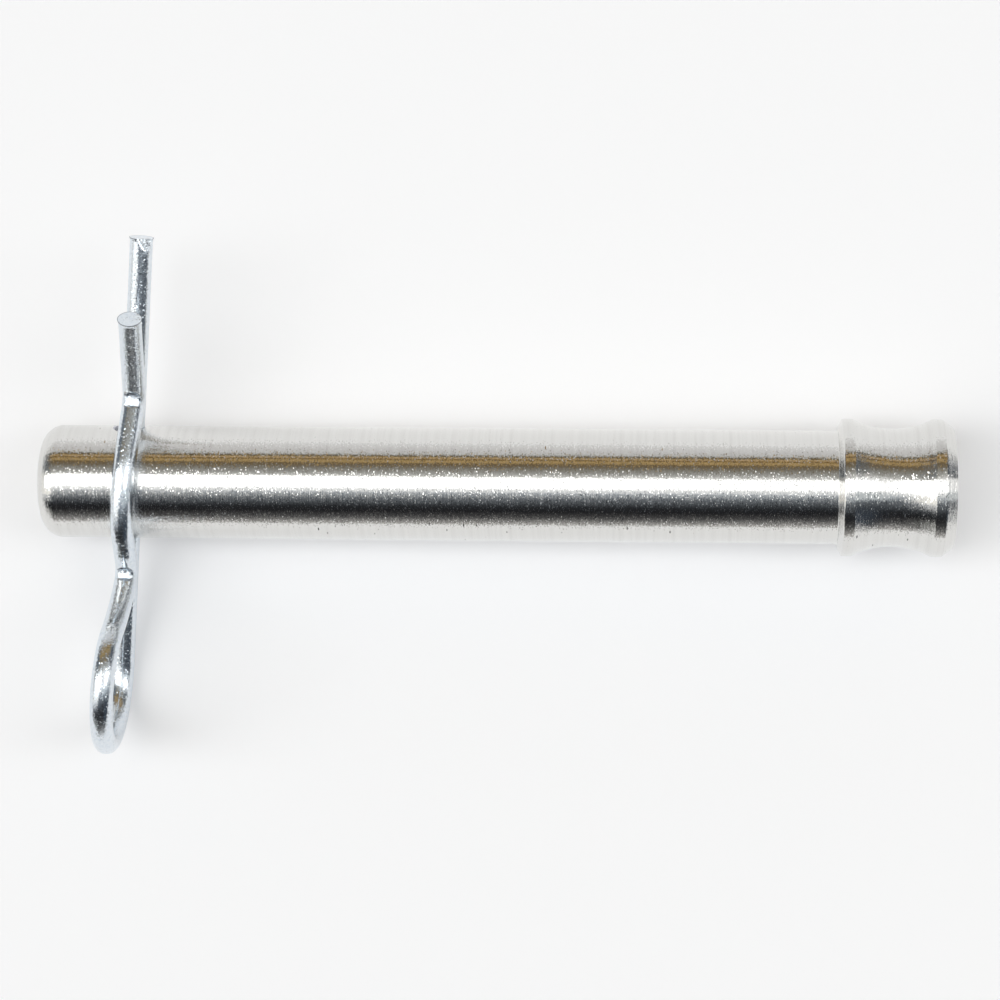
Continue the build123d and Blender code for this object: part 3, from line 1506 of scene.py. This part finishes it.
    def build(self, pose: RestingPose, material: Material) -> Piece:
        """Builds the clip as one closed wire.

        Args:
            pose: How the clip lies.
            material: Its finish.

        Returns:
            The clip.
        """
        line = self.centreline(pose)
        wire = WireSweepTree().sweep(line, self.sizes.wire_radius, self.sides, material)
        wire.verts.ensure_lookup_table()
        self._press_kinks(wire, pose)
        self._spread_ends(wire, line)
        log.info("centreline of %d points, swept to %d faces", len(line), len(wire.faces))
        return finished_object(
            "hairpin_clip_wire", wire, material, Body.CLIP, "hairpin_clip"
        )


# --- Studio ---


class Across(Enum):
    """What a soft edge of the studio is measured on.

    Tilts are degrees from the zenith towards +Y. Sides run from -1 at -X to 1 at +X.
    """

    TILT = "tilt"
    BENT_TILT = "tilt that grows towards both sides"
    SIDE = "side"
    OFF_MIDDLE = "side, the same both ways"


@dataclass(frozen=True)
class Edge:
    """A soft edge: what it is measured on, where nothing is left, where all is there."""

    across: Across
    none: float
    full: float
    smooth: bool = True


@dataclass(frozen=True)
class SoftBox:
    """An overhead light between its edges."""

    level: float
    edges: tuple[Edge, ...]


@dataclass(frozen=True)
class Patch:
    """A part of the studio with its own colour, and the edges of what it leaves out."""

    colour: Colour
    edges: tuple[Edge, ...]
    spared: tuple[Edge, ...] = ()


@dataclass(frozen=True)
class SkyBand:
    """Colour of the studio at a tilt from the zenith towards +Y, in degrees."""

    tilt: float
    colour: Colour


def grey(level: float) -> Colour:
    """A neutral colour."""
    return (level, level, level)


def tilted(none: float, full: float) -> Edge:
    """An edge on the tilt."""
    return Edge(Across.TILT, none, full, smooth=False)


def sided(none: float, full: float) -> Edge:
    """An edge on the side."""
    return Edge(Across.SIDE, none, full)


OVERHEAD = (Edge(Across.BENT_TILT, -9, -2), Edge(Across.TILT, 17, 14))
SHELF = (tilted(-27, -23), tilted(-9, -13))
OUTER_RIGHT = sided(0.78, 0.88)
NEAR_COOL = (0.05, 0.062, 0.08)


@dataclass
class Studio:
    """The plain studio: pale floor, overhead light, dark and warm sides, and the camera."""

    floor_half: float = 6.0
    floor_colour: Colour = (0.81, 0.816, 0.828)
    floor_glow: float = 0.245
    backdrop: Colour = (0.93, 0.93, 0.93)
    askew: float = 5.0
    bend: float = 8.0
    margin: float = degrees(0.1)
    bands: tuple[SkyBand, ...] = (
        SkyBand(-95, grey(0.42)),
        SkyBand(-88, (0.56, 0.55, 0.53)),
        SkyBand(-83, (0.35, 0.345, 0.335)),
        SkyBand(-72, (0.105, 0.104, 0.104)),
        SkyBand(-66, (0.056, 0.056, 0.057)),
        SkyBand(-56, (0.016, 0.016, 0.018)),
        SkyBand(-46, (0.022, 0.024, 0.027)),
        SkyBand(-38, (0.066, 0.073, 0.082)),
        SkyBand(-30, (0.125, 0.137, 0.152)),
        SkyBand(-22, (0.18, 0.205, 0.235)),
        SkyBand(-16.2, (0.36, 0.395, 0.44)),
        SkyBand(-14.6, (0.90, 0.92, 0.94)),
        SkyBand(-6, grey(1.0)),
        SkyBand(12, grey(1.0)),
        SkyBand(16, (0.86, 0.86, 0.84)),
        SkyBand(19, (0.54, 0.54, 0.52)),
        SkyBand(24, (0.37, 0.37, 0.345)),
        SkyBand(30, (0.27, 0.26, 0.23)),
        SkyBand(36, (0.19, 0.16, 0.115)),
        SkyBand(41.5, (0.15, 0.108, 0.060)),
        SkyBand(43.4, (0.20, 0.14, 0.070)),
        SkyBand(44.8, (0.44, 0.31, 0.135)),
        SkyBand(49.5, (0.50, 0.35, 0.16)),
        SkyBand(50.4, (0.08, 0.04, 0.005)),
        SkyBand(52.0, (0.09, 0.045, 0.008)),
        SkyBand(54.3, (0.62, 0.44, 0.23)),
        SkyBand(56.4, (0.58, 0.42, 0.22)),
        SkyBand(57.2, (0.10, 0.075, 0.038)),
        SkyBand(61.0, (0.12, 0.105, 0.075)),
        SkyBand(62.6, (0.57, 0.57, 0.555)),
        SkyBand(76, (0.70, 0.69, 0.69)),
        SkyBand(90, (0.82, 0.82, 0.82)),
    )
    # Two overhead boxes with the camera's gap between them, and the left one's low, dim reach.
    soft_boxes: tuple[SoftBox, ...] = (
        SoftBox(3.0, (*OVERHEAD, sided(-0.89, -0.84), sided(-0.06, -0.14))),
        SoftBox(2.3, (*OVERHEAD, sided(0.38, 0.46), sided(0.87, 0.83), tilted(11, 5))),
        SoftBox(0.55, (Edge(Across.TILT, -42, -26), sided(-0.36, -0.56), tilted(-8, -13))),
    )
    # Far side away from the middle; near side right and left; shelf left and right; the outer
    # right, far and near; the end walls.
    patches: tuple[Patch, ...] = (
        Patch(
            (0.13, 0.15, 0.17),
            (tilted(20, 26), tilted(63, 60), Edge(Across.OFF_MIDDLE, 0.56, 0.80)),
        ),
        Patch(
            NEAR_COOL,
            (tilted(-34, -50), tilted(-112, -104), sided(0.34, 0.60)),
            (tilted(-68, -78), sided(0.48, 0.62)),
        ),
        Patch((0.62, 0.63, 0.60), (tilted(-54, -66), sided(-0.34, -0.74), tilted(-98, -88))),
        Patch((1.15, 1.13, 1.08), (*SHELF, sided(-0.28, -0.40))),
        Patch((0.60, 0.64, 0.66), (*SHELF, sided(0.06, 0.18))),
        Patch(NEAR_COOL, (tilted(10, 16), OUTER_RIGHT)),
        Patch(NEAR_COOL, (tilted(-36, -42), OUTER_RIGHT)),
        Patch((0.72, 0.71, 0.68), (sided(-0.94, -0.99),)),
        Patch((0.66, 0.68, 0.70), (sided(0.985, 0.999),)),
    )

    def _places(self, bench: NodeBench) -> dict[Across, Socket]:
        """What the soft edges are measured on, for the direction that is looked at.

        Args:
            bench: Bench on the world's tree.

        Returns:
            The values.
        """
        direction = bench.add("ShaderNodeTexCoord").outputs["Generated"]
        side, depth, up = bench.split(direction)
        half_tilt = bench.math("ARCTAN2", depth, bench.math("ADD", up, 1.0))
        # The studio's far side stands a few degrees askew to the pin.
        askew = bench.product(side, self.askew)
        in_degrees = bench.product(half_tilt, degrees(2))
        tilt = bench.math("SUBTRACT", in_degrees, askew)
        bend = bench.product(side, side, self.bend)
        return {
            Across.TILT: tilt,
            Across.BENT_TILT: bench.math("ADD", tilt, bend),
            Across.SIDE: side,
            Across.OFF_MIDDLE: bench.math("ABSOLUTE", side),
        }

    @staticmethod
    def _mask(bench: NodeBench, places: dict[Across, Socket], edges: Sequence[Edge]) -> Socket:
        """Mask of what lies inside all of some soft edges.

        Args:
            bench: Bench on the world's tree.
            places: What the edges are measured on.
            edges: The edges.

        Returns:
            The mask.
        """
        return bench.product(
            *(bench.remap(places[e.across], e.none, e.full, smooth=e.smooth) for e in edges)
        )

    def build_world(self) -> None:
        """Makes the world that lights the scene and shows in the metal."""
        world = bpy.data.worlds.new("Studio")
        bpy.context.scene.world = world
        world.use_nodes = True
        bench = NodeBench(world.node_tree)
        places = self._places(bench)
        reach = 90 + self.margin
        stops = [((band.tilt + reach) / (2 * reach), band.colour) for band in self.bands]
        shown = bench.ramp(bench.remap(places[Across.TILT], -reach, reach), stops)
        for box in self.soft_boxes:
            light = bench.product(self._mask(bench, places, box.edges), box.level)
            shown = bench.vector("ADD", shown, light)
        for patch in self.patches:
            mask = self._mask(bench, places, patch.edges)
            if patch.spared:
                spared = self._mask(bench, places, patch.spared)
                mask = bench.product(mask, bench.math("SUBTRACT", 1.0, spared))
            shown = bench.blend(mask, shown, patch.colour)
        path = bench.add("ShaderNodeLightPath").outputs
        shown = bench.blend(path["Is Camera Ray"], shown, self.backdrop)
        background = bench.add("ShaderNodeBackground", {"Color": shown})
        bench.add("ShaderNodeOutputWorld", {"Surface": background.outputs[0]})

    def build_floor(self, height: float) -> Piece:
        """Lays the floor.

        Args:
            height: Height of the surface that the pin lies on.

        Returns:
            The floor.
        """
        mesh = bpy.data.meshes.new("floor")
        half = self.floor_half
        corners = [(x * half, y * half, height) for x, y in ((-1, -1), (1, -1), (1, 1), (-1, 1))]
        mesh.from_pydata(corners, [], [(0, 1, 2, 3)])
        floor = bpy.data.objects.new("floor", mesh)
        bpy.context.scene.collection.objects.link(floor)
        material = bpy.data.materials.new("Pale Surface")
        material.use_nodes = True
        bench = NodeBench(material.node_tree)
        matt = bench.add("ShaderNodeBsdfDiffuse", {"Color": self.floor_colour})
        path = bench.add("ShaderNodeLightPath").outputs
        seen = bench.math("MAXIMUM", path["Is Camera Ray"], path["Is Glossy Ray"])
        glow = bench.add("ShaderNodeEmission", {"Strength": bench.product(seen, self.floor_glow)})
        both = bench.add("ShaderNodeAddShader")
        bench.put(both.inputs[0], matt.outputs[0])
        bench.put(both.inputs[1], glow.outputs[0])
        bench.add("ShaderNodeOutputMaterial", {"Surface": both.outputs[0]})
        mesh.materials.append(material)
        log.info("floor at %.3f mm", height / MM)
        return floor

    @staticmethod
    def build_camera() -> Piece:
        """Sets up the camera, which looks almost straight down.

        Returns:
            The camera.
        """
        lens = bpy.data.cameras.new("camera")
        lens.lens = 109.046
        lens.sensor_width = 36.0
        lens.shift_x = -0.05
        lens.clip_end = 100.0
        camera = bpy.data.objects.new("camera", lens)
        camera.location = (-0.031157, 0.003461, 0.42337)
        camera.rotation_euler = (radians(-0.7416), radians(1.2005), radians(0.4619))
        bpy.context.scene.collection.objects.link(camera)
        bpy.context.scene.camera = camera
        return camera


def main() -> None:
    """Builds the pin, the clip and the studio."""
    bpy.context.scene.view_settings.view_transform = "Standard"
    pin = HitchPin()
    clip = HairpinClip()
    pose = RestingPose(pin.sizes, clip.sizes)
    effects = EffectGroups()
    pin.build(pose, TurnedSteelFinish().build(effects, pose, pin.sizes))
    clip.build(pose, ZincWireFinish().build(effects, clip.cut_ends(pose)))
    studio = Studio()
    studio.build_floor(cad_low.z)
    studio.build_world()
    studio.build_camera()


if __name__ == "__main__":
    main()
